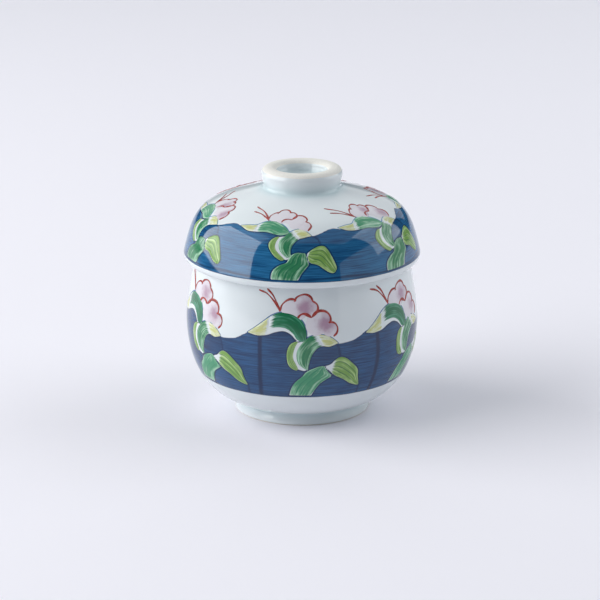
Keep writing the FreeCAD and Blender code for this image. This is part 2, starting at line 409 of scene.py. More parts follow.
BOWL_MOTIF = Motif(
    leaves=[
        Leaf([(-20.1, 24.5), (-16.6, 23.8), (-12.8, 24.1), (-9.7, 25.3), (-6.6, 25.9), (-4.0, 24.8),
              (-2.2, 22.9), (0.1, 22.2)],
             [(-20.1, 24.5), (-16.8, 26.9), (-14.1, 29.1), (-11.2, 31.4), (-8.3, 32.6), (-5.2, 32.7),
              (-2.5, 31.9), (-0.2, 30.2), (1.2, 27.9), (1.7, 25.3), (1.4, 23.0)],
             ("yellow", 0.01, 0.345, 0.0, 0.0), ("deep green", 0.35, 1.0, 0.30, 0.02)),
        Leaf([(2.1, 11.7), (2.5, 14.2), (3.1, 16.4), (4.6, 19.0), (6.7, 20.5), (9.8, 20.3),
              (12.9, 21.4)],
             [(1.2, 12.0), (-1.1, 14.0), (-2.0, 16.4), (-1.9, 19.1), (-0.6, 21.5), (1.3, 23.4),
              (3.2, 24.5), (5.9, 24.9), (8.8, 24.4), (11.1, 23.1), (12.9, 21.4)],
             ("green", 0.005, 0.665, 0.0, 0.0), ("yellow", 0.67, 0.99, 0.0, 0.0)),
        Leaf([(-1.2, 22.5), (-2.3, 20.7), (-3.0, 18.2), (-3.0, 16.1), (-2.2, 14.2), (-1.3, 12.3)],
             [(-1.9, 22.7), (-4.2, 21.4), (-5.3, 19.0), (-5.4, 16.3), (-5.0, 14.1), (-3.9, 12.6),
              (-2.1, 11.7), (-1.3, 12.3)],
             ("lime", 0.01, 0.99, 0.0, 0.0)),
        Leaf([(7.9, 13.2), (9.3, 11.0), (10.9, 9.2), (9.1, 7.9), (6.8, 6.3), (5.0, 3.7), (3.6, 0.8)],
             [(7.4, 13.4), (4.7, 12.8), (1.5, 11.3), (-0.2, 9.2), (-2.6, 6.9), (-4.1, 4.4), (-5.2, 0.8)],
             ("light green", 0.005, 0.995, 0.0, 0.0)),
        Leaf([(8.2, 12.6), (10.6, 10.3), (12.3, 8.8), (15.2, 7.3), (17.8, 5.3), (20.4, 4.2),
              (22.1, 3.9)],
             [(8.0, 13.3), (10.1, 13.9), (11.9, 15.4), (13.6, 16.3), (15.8, 15.7), (18.3, 13.6),
              (20.7, 10.9), (21.2, 7.7), (22.1, 3.9)],
             ("lime", 0.13, 0.99, 0.0, 0.0)),
    ],
    folds=[
        Leaf([(-1.6, 22.3), (-2.9, 20.6), (-3.7, 18.2), (-3.7, 16.1), (-2.9, 14.0), (-1.7, 12.2),
              (0.6, 11.4), (1.6, 11.6)],
             [(1.4, 22.8), (0.5, 21.0), (-0.6, 19.1), (-0.7, 16.6), (0.0, 14.8), (1.8, 12.4)]),
    ],
    pockets=[[(3.4, 16.6), (6.0, 19.9), (12.6, 20.7), (13.6, 17.0), (11.0, 15.0), (8.0, 13.8),
              (3.2, 13.2)]],
    strokes=[
        (0.72, [(-15.1, 24.0), (-15.1, 17.7), (-15.4, 9.8), (-16.1, 0.4)]),
        (0.22, [(22.2, 4.4), (21.9, 0.4)]),
        (0.25, [(12.6, 20.8), (13.2, 19.0), (13.6, 16.6)]),
    ],
    wash_edge=[(-20.1, 24.4), (-14.0, 26.0), (-8.0, 29.5), (-3.0, 28.5), (0.5, 25.0), (4.0, 22.8),
               (8.0, 22.4), (12.8, 21.2), (17.3, 21.6), (20.2, 22.5), (23.8, 24.4)],
    petals=[
        ((-1.4, 33.8), [(-4.8, 34.2, 3.1), (0.9, 36.1, 2.95), (3.0, 34.1, 2.65),
                        (-1.4, 33.6, 3.6)], (1.2, 34.6)),
        ((6.6, 28.2), [(7.1, 30.1, 3.05), (9.9, 26.5, 2.65), (5.0, 28.3, 3.9),
                       (3.4, 30.0, 1.9)], (8.6, 28.4)),
    ],
    blush=1.0,
    red_lines=[
        (0.34, [(-8.0, 33.1), (-7.5, 35.0), (-6.3, 36.4), (-4.6, 37.3), (-3.0, 37.3), (-2.2, 36.7)]),
        (0.34, [(-2.9, 36.5), (-1.8, 38.2), (0.9, 39.1), (3.0, 38.3), (4.1, 36.4)]),
        (0.36, [(3.8, 36.8), (5.4, 35.6), (5.8, 34.1), (5.1, 32.5), (3.6, 31.0)]),
        (0.50, [(-1.6, 30.9), (-0.6, 31.9), (0.6, 32.3), (2.0, 31.9), (3.4, 30.9)]),
        (0.42, [(3.4, 30.9), (4.6, 32.5), (6.5, 33.2), (8.7, 32.8), (10.1, 31.3), (10.3, 29.6),
                (9.7, 28.7)]),
        (0.32, [(9.5, 29.1), (11.6, 28.7), (12.7, 27.1), (12.5, 25.3), (11.2, 23.9)]),
        (0.31, [(-8.0, 32.9), (-9.2, 35.6), (-11.0, 38.6), (-13.2, 40.6)]),
        (0.29, [(-8.0, 33.2), (-10.4, 36.4), (-13.2, 38.9), (-16.4, 39.9)]),
    ],
    seed=11,
)

LID_MOTIF = Motif(
    leaves=[
        Leaf([(-26.6, 18.7), (-22.5, 17.2), (-19.0, 17.0), (-16.0, 17.2), (-13.5, 17.3), (-10.9, 16.8),
              (-8.4, 16.4), (-6.6, 16.8), (-5.2, 17.6)],
             [(-26.6, 18.7), (-22.5, 19.8), (-19.6, 20.2), (-17.4, 21.9), (-14.6, 23.1), (-11.4, 22.9),
              (-8.7, 21.7), (-6.4, 20.0), (-5.0, 18.0)],
             ("yellow", 0.01, 0.345, 0.0, 0.0), ("light green", 0.35, 1.0, 0.0, 0.0)),
        Leaf([(-3.6, 8.8), (-4.0, 10.6), (-3.6, 12.4), (-2.6, 13.9), (-1.2, 15.1), (1.1, 15.8),
              (3.7, 16.5)],
             [(-5.2, 8.3), (-6.6, 9.5), (-8.0, 11.0), (-8.7, 13.1), (-8.3, 14.9), (-6.7, 16.4),
              (-5.2, 17.8), (-3.1, 19.1), (-0.7, 19.5), (1.5, 18.5), (3.7, 16.5)],
             ("green", 0.005, 0.605, 0.0, 0.0), ("yellow", 0.61, 0.99, 0.0, 0.0)),
        Leaf([(-8.4, 16.0), (-9.4, 14.3), (-9.7, 12.7), (-9.2, 11.1), (-7.7, 9.5), (-5.9, 8.0)],
             [(-8.9, 16.1), (-10.8, 15.3), (-12.2, 13.6), (-12.1, 12.0), (-11.0, 10.3), (-9.4, 8.7),
              (-7.2, 7.5), (-5.9, 8.0)],
             ("lime", 0.01, 0.99, 0.0, 0.0)),
        Leaf([(1.2, 10.2), (1.8, 8.3), (2.4, 6.3), (1.3, 4.8), (0.0, 3.1), (-1.2, 0.7)],
             [(-1.3, 10.5), (-3.2, 10.0), (-4.6, 8.6), (-5.5, 6.9), (-7.5, 6.0), (-9.4, 4.7),
              (-10.4, 3.0), (-10.6, 0.7)],
             ("green", 0.0, 0.995, 0.0, 0.0)),
        Leaf([(1.6, 9.6), (1.9, 8.3), (2.8, 6.7), (5.3, 6.0), (7.0, 4.7), (8.6, 3.5), (10.0, 3.0),
              (11.0, 3.2)],
             [(1.6, 10.3), (3.8, 11.7), (6.1, 12.7), (7.9, 12.6), (9.2, 11.3), (10.4, 8.9),
              (11.4, 6.5), (11.8, 4.7), (11.0, 3.2)],
             ("lime", 0.07, 0.99, 0.0, 0.0)),
    ],
    folds=[
        Leaf([(-8.8, 16.0), (-9.9, 14.3), (-10.3, 12.7), (-9.8, 10.9), (-8.2, 9.2), (-5.9, 7.7),
              (-4.6, 7.9)],
             [(-5.8, 16.6), (-7.6, 14.7), (-8.0, 13.1), (-7.3, 11.3), (-6.0, 10.0), (-4.4, 8.7)]),
    ],
    pockets=[[(-3.3, 11.0), (-3.4, 12.7), (-1.0, 14.7), (3.4, 15.8), (5.6, 14.6), (6.3, 13.2),
              (2.8, 11.8), (0.6, 10.9)]],
    strokes=[
        (0.24, [(3.9, 16.4), (5.6, 15.4), (6.6, 13.6)]),
        (0.26, [(-26.6, 1.5), (-20.0, 1.2), (-14.0, 0.9), (-10.9, 0.7)]),
        (0.18, [(-1.2, 0.7), (4.0, 1.0), (10.0, 1.3), (15.3, 1.5)]),
    ],
    wash_edge=[(-26.6, 18.6), (-19.0, 18.5), (-12.0, 21.5), (-7.0, 19.5), (-4.8, 17.2), (-1.0, 17.5),
               (3.6, 16.5), (6.2, 17.0), (8.7, 18.1), (12.4, 19.2), (15.3, 18.6)],
    petals=[
        ((-9.3, 25.2), [(-13.2, 25.4, 2.7), (-9.2, 27.8, 2.7), (-5.2, 26.2, 2.5),
                        (-9.4, 25.0, 3.1)], (-6.6, 25.2)),
        ((-0.8, 22.3), [(-0.7, 24.1, 2.9), (1.0, 20.9, 2.7), (-3.0, 22.4, 3.0),
                        (-6.0, 23.3, 1.6)], (1.2, 21.6)),
    ],
    blush=0.22,
    red_lines=[
        (0.31, [(-15.8, 23.6), (-16.1, 25.6), (-15.2, 27.2), (-13.9, 28.2), (-12.4, 28.4)]),
        (0.32, [(-13.1, 27.7), (-11.6, 30.0), (-8.7, 30.6), (-6.8, 29.8), (-6.3, 28.5)]),
        (0.36, [(-6.8, 28.9), (-4.4, 28.9), (-2.9, 27.8), (-2.8, 26.2), (-4.6, 24.5)]),
        (0.42, [(-9.3, 22.6), (-8.6, 23.9), (-7.0, 24.6), (-4.6, 24.4)]),
        (0.35, [(-4.8, 24.4), (-3.4, 26.3), (-1.2, 27.2), (1.1, 26.5), (2.4, 24.8), (1.8, 23.1)]),
        (0.34, [(1.5, 23.4), (3.3, 22.4), (3.8, 20.7), (2.3, 18.6)]),
        (0.29, [(-15.3, 23.0), (-17.6, 25.7), (-21.8, 28.4), (-28.3, 30.2)]),
        (0.29, [(-15.2, 23.2), (-18.2, 25.0), (-22.0, 26.5), (-26.5, 27.1)]),
    ],
    seed=29,
)

MOTIFS = {"bowl": BOWL_MOTIF, "lid": LID_MOTIF}


def smooth_line(places, steps):
    """A line through the places: on each span a cubic whose slope at a place is half the step between
    its two neighbours (Catmull-Rom), and then spaced evenly along its length."""
    places = np.array(places, float)
    padded = np.vstack([2 * places[0] - places[1], places, 2 * places[-1] - places[-2]])
    share = np.linspace(0, 1, 24, endpoint=False)[:, None, None]
    a, b, c, d = (padded[first:len(padded) - 3 + first][None] for first in range(4))
    spans = 0.5 * (2 * b + (c - a) * share + (2 * a - 5 * b + 4 * c - d) * share ** 2
                   + (3 * b - a - 3 * c + d) * share ** 3)
    line = spans.transpose(1, 0, 2).reshape(-1, 2)
    return even_steps(np.vstack([line, places[-1]]), steps)


def strayed(places, seed, index):
    """Where the painter's hand put the places on one repeat: the motif grows a little and bends in two
    slow waves, less near the band's lower edge.  The repeat at the front is as drawn."""
    places = np.array(places, float)
    if index == 0:
        return places
    random = np.random.default_rng(100 * seed + index)
    grow = 1 + random.normal(0, GROWTH, 2)
    sway = random.normal(0, SWAY, 2)
    start = random.uniform(0, 2 * math.pi, 2)
    x, y = places[..., 0], places[..., 1]
    free = np.clip(y / 8, 0, 1)
    return np.stack([x * grow[0] + sway[0] * np.sin(y / 7 + start[0]),
                     y * grow[1] ** free + sway[1] * free * np.sin(x / 8 + start[1])], axis=-1)


def distance_to_line(points, line, closed=False):
    """Distance from points to the nearest part of a line of straight runs, negative inside a closed
    one, where a ray to the right crosses it an odd number of times."""
    start = line if closed else line[:-1]
    end = np.roll(line, -1, axis=0) if closed else line[1:]
    run = end - start
    offset = points[:, None, :] - start
    share = np.clip((offset * run).sum(-1) / np.maximum((run ** 2).sum(-1), 1e-9), 0, 1)
    near = np.linalg.norm(offset - share[..., None] * run, axis=-1).min(axis=1)
    if not closed:
        return near
    height = points[:, None, 1]
    spans = (start[:, 1] > height) != (end[:, 1] > height)
    rise = np.where(np.abs(run[:, 1]) < 1e-9, 1e-9, run[:, 1])
    crossing = start[:, 0] + (height - start[:, 1]) * run[:, 0] / rise
    inside = (spans & (crossing > points[:, None, 0])).sum(axis=1) % 2 == 1
    return np.where(inside, -near, near)


def soft_step(low, high, values):
    """0 below low and 1 above high, with a cubic ease between; low may be the larger."""
    share = np.clip((values - low) / (high - low), 0, 1)
    return share * share * (3 - 2 * share)


POCKET_TONE = 0.35      # how dark the wash is in a pocket, where a stroke is 1
EDGE_STEPS, STROKE_STEPS, WASH_STEPS = 28, 12, 120


def painted_fields(motif, up, turn, round_radius):
    """Three numbers for each point of a lattice of heights up and angles turn: wash is the distance
    inside the blue wash, leaf the distance outside the nearest leaf, and tone how dark a stroke or
    pocket makes the wash."""
    wash = np.full((len(up), len(turn)), -FAR)
    leaf = np.full((len(up), len(turn)), FAR)
    tone = np.zeros((len(up), len(turn)))
    period = 2 * math.pi * round_radius / MM / REPEATS
    for index in range(REPEATS):
        angle = (turn - index * 2 * math.pi / REPEATS + math.pi) % (2 * math.pi) - math.pi
        columns = np.flatnonzero(np.abs(angle) * round_radius / MM < 0.5 * period + OVERHANG)
        across, height = np.meshgrid(angle[columns] * round_radius / MM, up / MM)
        points = np.stack([across, height], axis=-1).reshape(-1, 2)
        near_leaf = np.full(len(points), FAR)
        for shape in motif.leaves + motif.folds:
            edges = [smooth_line(strayed(edge, motif.seed, index), EDGE_STEPS)
                     for edge in (shape.lower, shape.upper)]
            outline = np.vstack([edges[0], edges[1][::-1]])
            near_leaf = np.minimum(near_leaf, distance_to_line(points, outline, closed=True))
        dark = np.zeros(len(points))
        for half_width, places in motif.strokes:
            line = smooth_line(strayed(places, motif.seed, index), STROKE_STEPS)
            away = distance_to_line(points, line)
            dark = np.maximum(dark, soft_step(half_width + 0.35, half_width - 0.2, away))
        for places in motif.pockets:
            away = distance_to_line(points, strayed(places, motif.seed, index), closed=True)
            dark = np.maximum(dark, POCKET_TONE * soft_step(0.9, -0.9, away))
        near_leaf, dark = near_leaf.reshape(across.shape), dark.reshape(across.shape)
        leaf[:, columns] = np.minimum(leaf[:, columns], near_leaf)
        tone[:, columns] = np.maximum(tone[:, columns], dark)
        top = strayed(motif.wash_edge, motif.seed, index)
        top[0] = motif.wash_edge[0]
        top[-1] = top[0] + (period, 0)
        top = smooth_line(top, WASH_STEPS)
        lean = np.gradient(top[:, 1], top[:, 0])
        own = (across[0] >= top[0, 0]) & (across[0] < top[-1, 0])
        drop = np.interp(across, top[:, 0], top[:, 1]) - height
        drop /= np.sqrt(1 + np.interp(across, top[:, 0], lean) ** 2)
        wash[:, columns[own]] = np.minimum(drop, height)[:, own]
    return {"wash": np.clip(wash, -FAR, FAR), "leaf": leaf, "tone": tone}


# ---------------------------------------------------------------- the two bodies

LID_ROUND = 40 * MM     # radius of the circle that the lid's motif is measured on


def bowl_walls(context):
    """The bowl's outline, the rows of it that are painted, and the wall that they make."""
    sizes = context.scene.cup_bowl
    outline, wall_rows = bowl_outline(sizes)
    return outline, wall_rows, Wall(outline[wall_rows], sizes.band_height, sizes.belly_radius)


def lid_walls(context):
    """The same for the lid, whose band starts at the dome's lower edge."""
    outline, wall_rows = lid_outline(context.scene.cup_lid, context.scene.cup_bowl)
    return outline, wall_rows, Wall(outline[wall_rows], outline[wall_rows][-1, 1], LID_ROUND)


WALLS = {"bowl": bowl_walls, "lid": lid_walls}


def painted_body(context, node, bare, pooled):
    """A turned body: each point of its half section turned to every angle, with the numbers its
    material paints by.  bare says which points of the section were wiped of glaze, and pooled where the
    glaze runs thick, as (radius, height, reach)."""
    outline, wall_rows, wall = WALLS[node](context)
    turn = np.linspace(-math.pi, math.pi, COLUMNS, endpoint=False)
    radius, height = outline[:, :1], outline[:, 1:]
    rings = np.stack([radius * np.sin(turn), -radius * np.cos(turn), height + 0 * turn], axis=-1)
    shape = rings.shape[:2]
    values = {name: np.full(shape, far) for name, far in (("wash", -FAR), ("leaf", FAR), ("tone", 0.0))}
    up = wall.up if outline[wall_rows][0, 1] < outline[wall_rows][-1, 1] else wall.up[::-1]
    for name, grid in painted_fields(MOTIFS[node], up, turn, wall.round_radius).items():
        values[name][wall_rows] = grid
    run = run_length(outline)
    wiped = run[bare(outline)]
    depth = np.minimum(run - wiped[0], wiped[-1] - run) / MM
    values["bare"] = np.broadcast_to(np.clip(depth, -FAR, FAR)[:, None], shape)
    pool = np.zeros(len(outline))
    for near_radius, near_height, reach in pooled:
        away = np.hypot(outline[:, 0] - near_radius, outline[:, 1] - near_height)
        pool = np.maximum(pool, np.exp(-(away / reach) ** 2))
    values["pool"] = np.broadcast_to(pool[:, None], shape)
    values["up"] = np.broadcast_to((run - run[wall_rows][0])[:, None] / MM, shape)
    poles = [(0, 0, outline[0, 1]), (0, 0, outline[-1, 1])]
    return Shell(rings, poles, values)


# ---------------------------------------------------------------- raised enamels

SINK = 0.02 * MM        # how far an enamel's rim lies under the glaze, so that nothing shows between them
LINE_SPREAD = 1.06      # how much wider a red line fires than it is drawn
LEAF_STEPS = 80         # steps along a leaf's edges
LEAF_ROWS, LEAF_COLUMNS = 44, 17
PETAL_RAYS, PETAL_RINGS = 96, 14
LINE_STEPS, LINE_SIDES = 40, 10
RISE = {                # how far each enamel stands off the glaze
    "green": 0.18 * MM,
    "lime": 0.15 * MM,
    "yellow": 0.14 * MM,
    "petal": 0.09 * MM,
    "red line": 0.13 * MM,
}


def enamel_shell(wall, index, flat, rise, values, axis):
    """Closes a patch of flat places, in metres, into a shell: its top stands off the wall by rise less
    the sink, and its underside, with a quarter of the points, comes back along one axis at twice the
    sink below the wall."""
    back = (slice(None),) * axis + (slice(None, None, -4),)
    along, up = flat[..., 0] + wall.repeat(index), flat[..., 1]
    top = wall.place(along, up, rise - SINK)
    under = wall.place(along, up, np.full_like(rise, -2 * SINK))
    rings = np.concatenate([top, under[back]], axis=axis)
    values = {name: np.concatenate([grid, grid[back]], axis=axis) for name, grid in values.items()}
    return Shell(rings, rings[[0, -1]].mean(axis=1), values)


def leaf_shell(wall, motif, index, leaf, number, band, thickness):
    """One enamel on one leaf: along from base to tip, across on straight lines between the two edges.
    It stands off the wall by thickness times (1 - |2 across - 1|^6)(1 - |2 along - 1|^8), so its rim is
    steep.  Where it ends inside the leaf it fades out."""
    kind, along_from, along_to, strip_from, strip_to = band
    edges = [smooth_line(strayed(edge, motif.seed, index), LEAF_STEPS)
             for edge in (leaf.lower, leaf.upper)]
    along, across = np.linspace(0, 1, LEAF_ROWS)[:, None], np.linspace(0, 1, LEAF_COLUMNS)[None, :]
    step = np.clip(along_from + (along_to - along_from) * along + 0 * across, 0, 1) * LEAF_STEPS
    whole_steps = np.arange(LEAF_STEPS + 1)
    low, high = (np.stack([np.interp(step, whole_steps, edge[:, axis]) for axis in (0, 1)], axis=-1)
                 for edge in edges)
    bare = [0.011 * (1 + np.sin(along * pace + number * 1.7 + index + 2 * side))
            for side, pace in ((0, 9), (1, 7))]
    bare[0] = bare[0] + strip_from + (strip_to - strip_from) * along
    part = (bare[0] + (1 - bare[0] - bare[1]) * across)[..., None]
    flat = (low * (1 - part) + high * part) * MM
    crown = (1 - np.abs(2 * across - 1) ** 6) * (1 - np.abs(2 * along - 1) ** 8)
    whole = np.ones_like(crown)
    fade = (soft_step(-0.06, 0.22, along) if along_from > 0.1 else 1) * (
        soft_step(1.06, 0.80, along) if along_to < 0.9 else 1)
    values = {
        "across": whole * across,
        "along": whole * along,
        "number": whole * (number + 7.3 * index),
        "depth": (1 - np.abs(2 * across - 1) ** 2.5) * (1 - np.abs(2 * along - 1) ** 4),
        "fade": whole * fade,
    }
    return enamel_shell(wall, index, flat, thickness * crown, values, 1)


def petal_shell(wall, motif, index, middle, circles, heart, thickness):
    """One flower's wash: rays from the middle, each as long as the farthest circle that it meets, which
    is p.e + sqrt(r^2 - |p|^2 + (p.e)^2) for a circle of radius r about p.  Blush is strongest near the
    heart."""
    angle = np.linspace(0, 2 * math.pi, PETAL_RAYS, endpoint=False)
    ray = np.stack([np.cos(angle), np.sin(angle)], axis=-1)
    centres = np.array([circle[:2] for circle in circles]) - np.array(middle)
    toward = ray @ centres.T
    root = np.array([circle[2] for circle in circles]) ** 2 - (centres ** 2).sum(axis=1) + toward ** 2
    reach = np.where(root > 0, toward + np.sqrt(np.maximum(root, 0)), 0).max(axis=1)
    share = np.sin(np.linspace(0.02, 0.5 * math.pi, PETAL_RINGS))[:, None]
    places = np.array(middle) + share[..., None] * reach[:, None] * ray
    flat = strayed(places, motif.seed, index) * MM
    rise = thickness * (1 - share ** 10) * np.ones_like(angle)
    away = np.linalg.norm(places - np.array(heart), axis=-1)
    values = {
        "blush": (0.85 if index else motif.blush) * np.exp(-(away / 3.2) ** 2),
        "along": share * np.ones_like(angle),
    }
    return enamel_shell(wall, index, flat, rise, values, 0)


def line_shell(wall, motif, index, half_width, places, height):
    """A red line: an ellipse of half_width by height is carried along it, thinner where the brush
    lifts."""
    line = smooth_line(strayed(places, motif.seed, index), LINE_STEPS)
    slope = np.gradient(line, axis=0)
    side = np.stack([-slope[:, 1], slope[:, 0]], axis=-1) / np.linalg.norm(slope, axis=1)[:, None]
    share = np.linspace(0, 1, len(line))
    fullness = 0.62 + 0.38 * soft_step(0, 0.10, share) * soft_step(1.0, 0.88, share)
    fullness = fullness * (1 + 0.24 * np.sin(share * 8 + half_width * 40 + index))
    angle = np.linspace(0, 2 * math.pi, LINE_SIDES, endpoint=False)
    flat = line[:, None, :] + side[:, None, :] * (half_width * fullness[:, None] * np.cos(angle))[..., None]
    along = flat[..., 0] * MM + wall.repeat(index)
    rings = wall.place(along, flat[..., 1] * MM, height * np.sin(angle) * np.sqrt(fullness)[:, None])
    return Shell(rings, rings[[0, -1]].mean(axis=1), {})


def lay_leaves(context, node, kind, name, material):
    """Builds every leaf shell of one enamel round one body as a piece, where the body has any."""
    wall, motif = WALLS[node](context)[2], MOTIFS[node]
    rise = RISE.get(kind, RISE["green"])
    shells = [leaf_shell(wall, motif, index, leaf, number, band, rise)
              for index in range(REPEATS)
              for number, leaf in enumerate(motif.leaves)
              for band in leaf.enamels if band[0] == kind]
    if shells:
        build_piece(f"{node}_{name}", shells, material, node)


# ---------------------------------------------------------------- materials

class Value:
    """A socket of a material's node tree.  Arithmetic on it adds Math nodes to the tree."""

    def __init__(self, graph, socket):
        self.graph, self.socket = graph, socket

    def _math(self, operation, *terms):
        return self.graph.node("ShaderNodeMath", {"operation": operation}, dict(enumerate(terms)))

    def __add__(self, other):
        return self._math("ADD", self, other)

    def __sub__(self, other):
        return self._math("SUBTRACT", self, other)

    def __rsub__(self, other):
        return self._math("SUBTRACT", other, self)

    def __mul__(self, other):
        return self._math("MULTIPLY", self, other)

    __radd__ = __add__
    __rmul__ = __mul__

    def most(self, other):
        return self._math("MAXIMUM", self, other)

    def step(self, low, high):
        """A soft step: 0 at low, 1 at high; low may be the larger."""
        start, end, first, last = (low, high, 0.0, 1.0) if low < high else (high, low, 1.0, 0.0)
        return self.graph.node("ShaderNodeMapRange", {"interpolation_type": "SMOOTHSTEP"}, {
            "Value": self, "From Min": start, "From Max": end, "To Min": first, "To Max": last})


class Graph:
    """A material with one Principled shader, and the ways its nodes are added."""

    def __init__(self, name, **constants):
        self.material = bpy.data.materials.new(name)
        self.material.use_nodes = True
        self.tree = self.material.node_tree
        self.shader = self.tree.nodes["Principled BSDF"]
        for socket, value in constants.items():
            self.shader.inputs[socket.replace("_", " ")].default_value = value

    def node(self, kind, settings, inputs, output=0):
        """Adds a node: its settings first, then its sockets by name or place, as values or links."""
        node = self.tree.nodes.new(kind)
        for name, setting in settings.items():
            setattr(node, name, setting)
        for name, value in inputs.items():
            if isinstance(value, Value):
                self.tree.links.new(value.socket, node.inputs[name])
            else:
                node.inputs[name].default_value = value
        return Value(self, node.outputs[output])

    def attribute(self, name):
        return self.node("ShaderNodeAttribute", {"attribute_name": name}, {}, "Fac")

    def place(self):
        return self.node("ShaderNodeTexCoord", {}, {}, "Object")

    def parts(self, vector):
        split = self.node("ShaderNodeSeparateXYZ", {}, {"Vector": vector})
        return [Value(self, socket) for socket in split.socket.node.outputs]

    def vector(self, x, y, z):
        return self.node("ShaderNodeCombineXYZ", {}, {"X": x, "Y": y, "Z": z})

    def noise(self, vector, scale, detail=2.0, distortion=0.0):
        return self.node("ShaderNodeTexNoise", {}, {"Vector": vector, "Scale": scale, "Detail": detail,
                                                    "Distortion": distortion}, "Fac")

    def blend(self, share, first, second):
        """Mixes two colours: the first where share is 0, the second where it is 1."""
        first, second = (tuple(colour) + (1.0,) if not isinstance(colour, Value) else colour
                         for colour in (first, second))
        return self.node("ShaderNodeMix", {"data_type": "RGBA"}, {0: share, 6: first, 7: second}, 2)

    def feed(self, socket, value):
        self.tree.links.new(value.socket, self.shader.inputs[socket])

    def bump(self, height, distance):
        """Bumps the surface by height times distance, in metres."""
        normal = self.node("ShaderNodeBump", {}, {"Height": height, "Distance": distance, "Strength": 1.0})
        self.feed("Normal", normal)


def porcelain(name, colours, wash, toast):
    """White glazed porcelain with a cobalt wash under the glaze, given as its deep and thin colours.
    The wash is laid in thin strokes round the body, is darker along its edges and in the drawn strokes,
    and leaves white room for each leaf.  Toast is how brown the bare clay fired where the glaze ends."""
    graph = Graph(name, IOR=1.56, Specular_IOR_Level=0.5)
    place = graph.place()
    x, y, z = graph.parts(place)
    up = graph.attribute("up")
    field, leaf, tone = (graph.attribute(number) for number in ("wash", "leaf", "tone"))
    brushed = graph.noise(graph.vector(x * 70.0, y * 70.0, up * 2.2), 1.0, 4.0, 0.3)
    fine = graph.noise(graph.vector(x * 150.0, y * 150.0, up * 7.5), 1.0, 2.0, 0.1)
    cloudy = graph.noise(graph.vector(x * 70.0, y * 70.0, z * 70.0), 1.0, 2.0)
    load = (brushed * 0.60 + fine * 0.75 + cloudy * 0.35).step(0.58, 1.16)
    cobalt = graph.blend(load, *wash)
    ragged = field + (brushed - 0.5) * 0.5
    rim = ragged.step(0.62, 0.0) * 0.55
    around_leaf = leaf.step(0.55, 0.15) * 0.80
    cobalt = graph.blend((tone * 0.92).most(rim).most(around_leaf), cobalt, colours.wash_line)
    pool = graph.attribute("pool")
    clear = graph.blend(pool + (cloudy - 0.5) * 0.3 * pool, colours.glaze, colours.pooled)
    clear = graph.blend(leaf.step(0.30, 0.12) * 0.95, clear, wash[1])
    painted = graph.blend(ragged.step(-0.10, 0.10), clear, cobalt)
    reserved = graph.blend(leaf.step(-0.12, -0.26), painted, colours.glaze)
    bare = graph.attribute("bare") + (cloudy - 0.5) * 0.5
    wiped = bare.step(-0.10, 0.10)
    grain = graph.noise(place, 2600.0, 3.0)
    clay = graph.blend(grain.step(0.35, 0.75), colours.bare, tuple(share * 0.9 for share in colours.bare))
    fired = graph.blend(bare.step(0.40, 0.0) * toast, clay, colours.toasted)
    graph.feed("Base Color", graph.blend(wiped, reserved, fired))
    graph.feed("Roughness", 0.055 + wiped * 0.5 + (cloudy - 0.5) * 0.02)
    graph.bump(graph.noise(place, 90.0, 2.0) * 0.5 + grain * wiped * 0.06, 0.00006)
    return graph.material


def streaked_enamel(name, colours, deep, thin, cover, veins):
    """Translucent leaf enamel: thin streaks run along the leaf, more towards its rim, where the brush
    left little, and break it up where it fades out.  Under it three dark lines run from base to tip;
    veins is how strongly they show."""
    graph = Graph(name, IOR=1.52, Specular_IOR_Level=0.5)
    across, along, number, depth, fade = (
        graph.attribute(field) for field in ("across", "along", "number", "depth", "fade"))
    streaks = graph.noise(graph.vector(across * 9.0, along * 1.3, number), 1.0, 3.0, 0.25)
    patches = graph.noise(graph.vector(across * 2.2, along * 3.0, number + 3.7), 1.0, 2.0)
    load = ((streaks - 0.5) * 3.4 + (patches - 0.5) * 2.0 + depth * 0.35 + cover).step(0.0, 1.0)
    paint = graph.blend(load, thin, deep)
    bend = across + (patches - 0.5) * 0.08
    lines = [graph.node("ShaderNodeMath", {"operation": "ABSOLUTE"}, {0: bend - at}).step(0.030, 0.010)
             for at in (0.27, 0.51, 0.75)]
    drawn = lines[0].most(lines[1]).most(lines[2]) * (patches + 0.3) * veins
    paint = graph.blend(drawn, paint, colours.vein)
    shown = (fade * 1.7 + (streaks - 0.5) * 2.2 - 0.45).step(0.0, 0.8)
    graph.feed("Base Color", graph.blend(shown, colours.glaze, paint))
    graph.feed("Roughness", 0.10 + (streaks - 0.5) * 0.06)
    graph.bump(streaks, 0.00005)
    return graph.material


def petal_wash(name, colours):
    """Pink enamel, so thin that it is nearly white between the blushes."""
    graph = Graph(name, IOR=1.5, Specular_IOR_Level=0.5)
    place = graph.place()
    mottle = graph.noise(place, 620.0, 3.0, 0.4)
    rim = graph.attribute("along").step(0.80, 1.0)
    blush = (graph.attribute("blush") * 1.05 + (mottle - 0.5) * 0.7 + rim * 0.12).step(0.05, 1.0)
    graph.feed("Base Color", graph.blend(blush, colours.petal_pale, colours.petal_blush))
    graph.feed("Roughness", 0.11 + (mottle - 0.5) * 0.05)
    graph.bump(mottle, 0.00003)
    return graph.material


def red_line(name, colours):
    """Iron red, opaque where the line is full and browner where it is dry."""
    graph = Graph(name, IOR=1.5, Specular_IOR_Level=0.4)
    dry = graph.noise(graph.place(), 900.0, 3.0)
    lighter = tuple(min(1.0, 1.5 * share + 0.03) for share in colours.iron_red)
    graph.feed("Base Color", graph.blend(dry.step(0.45, 0.75), colours.iron_red, lighter))
    graph.feed("Roughness", 0.22 + (dry - 0.5) * 0.1)
    return graph.material


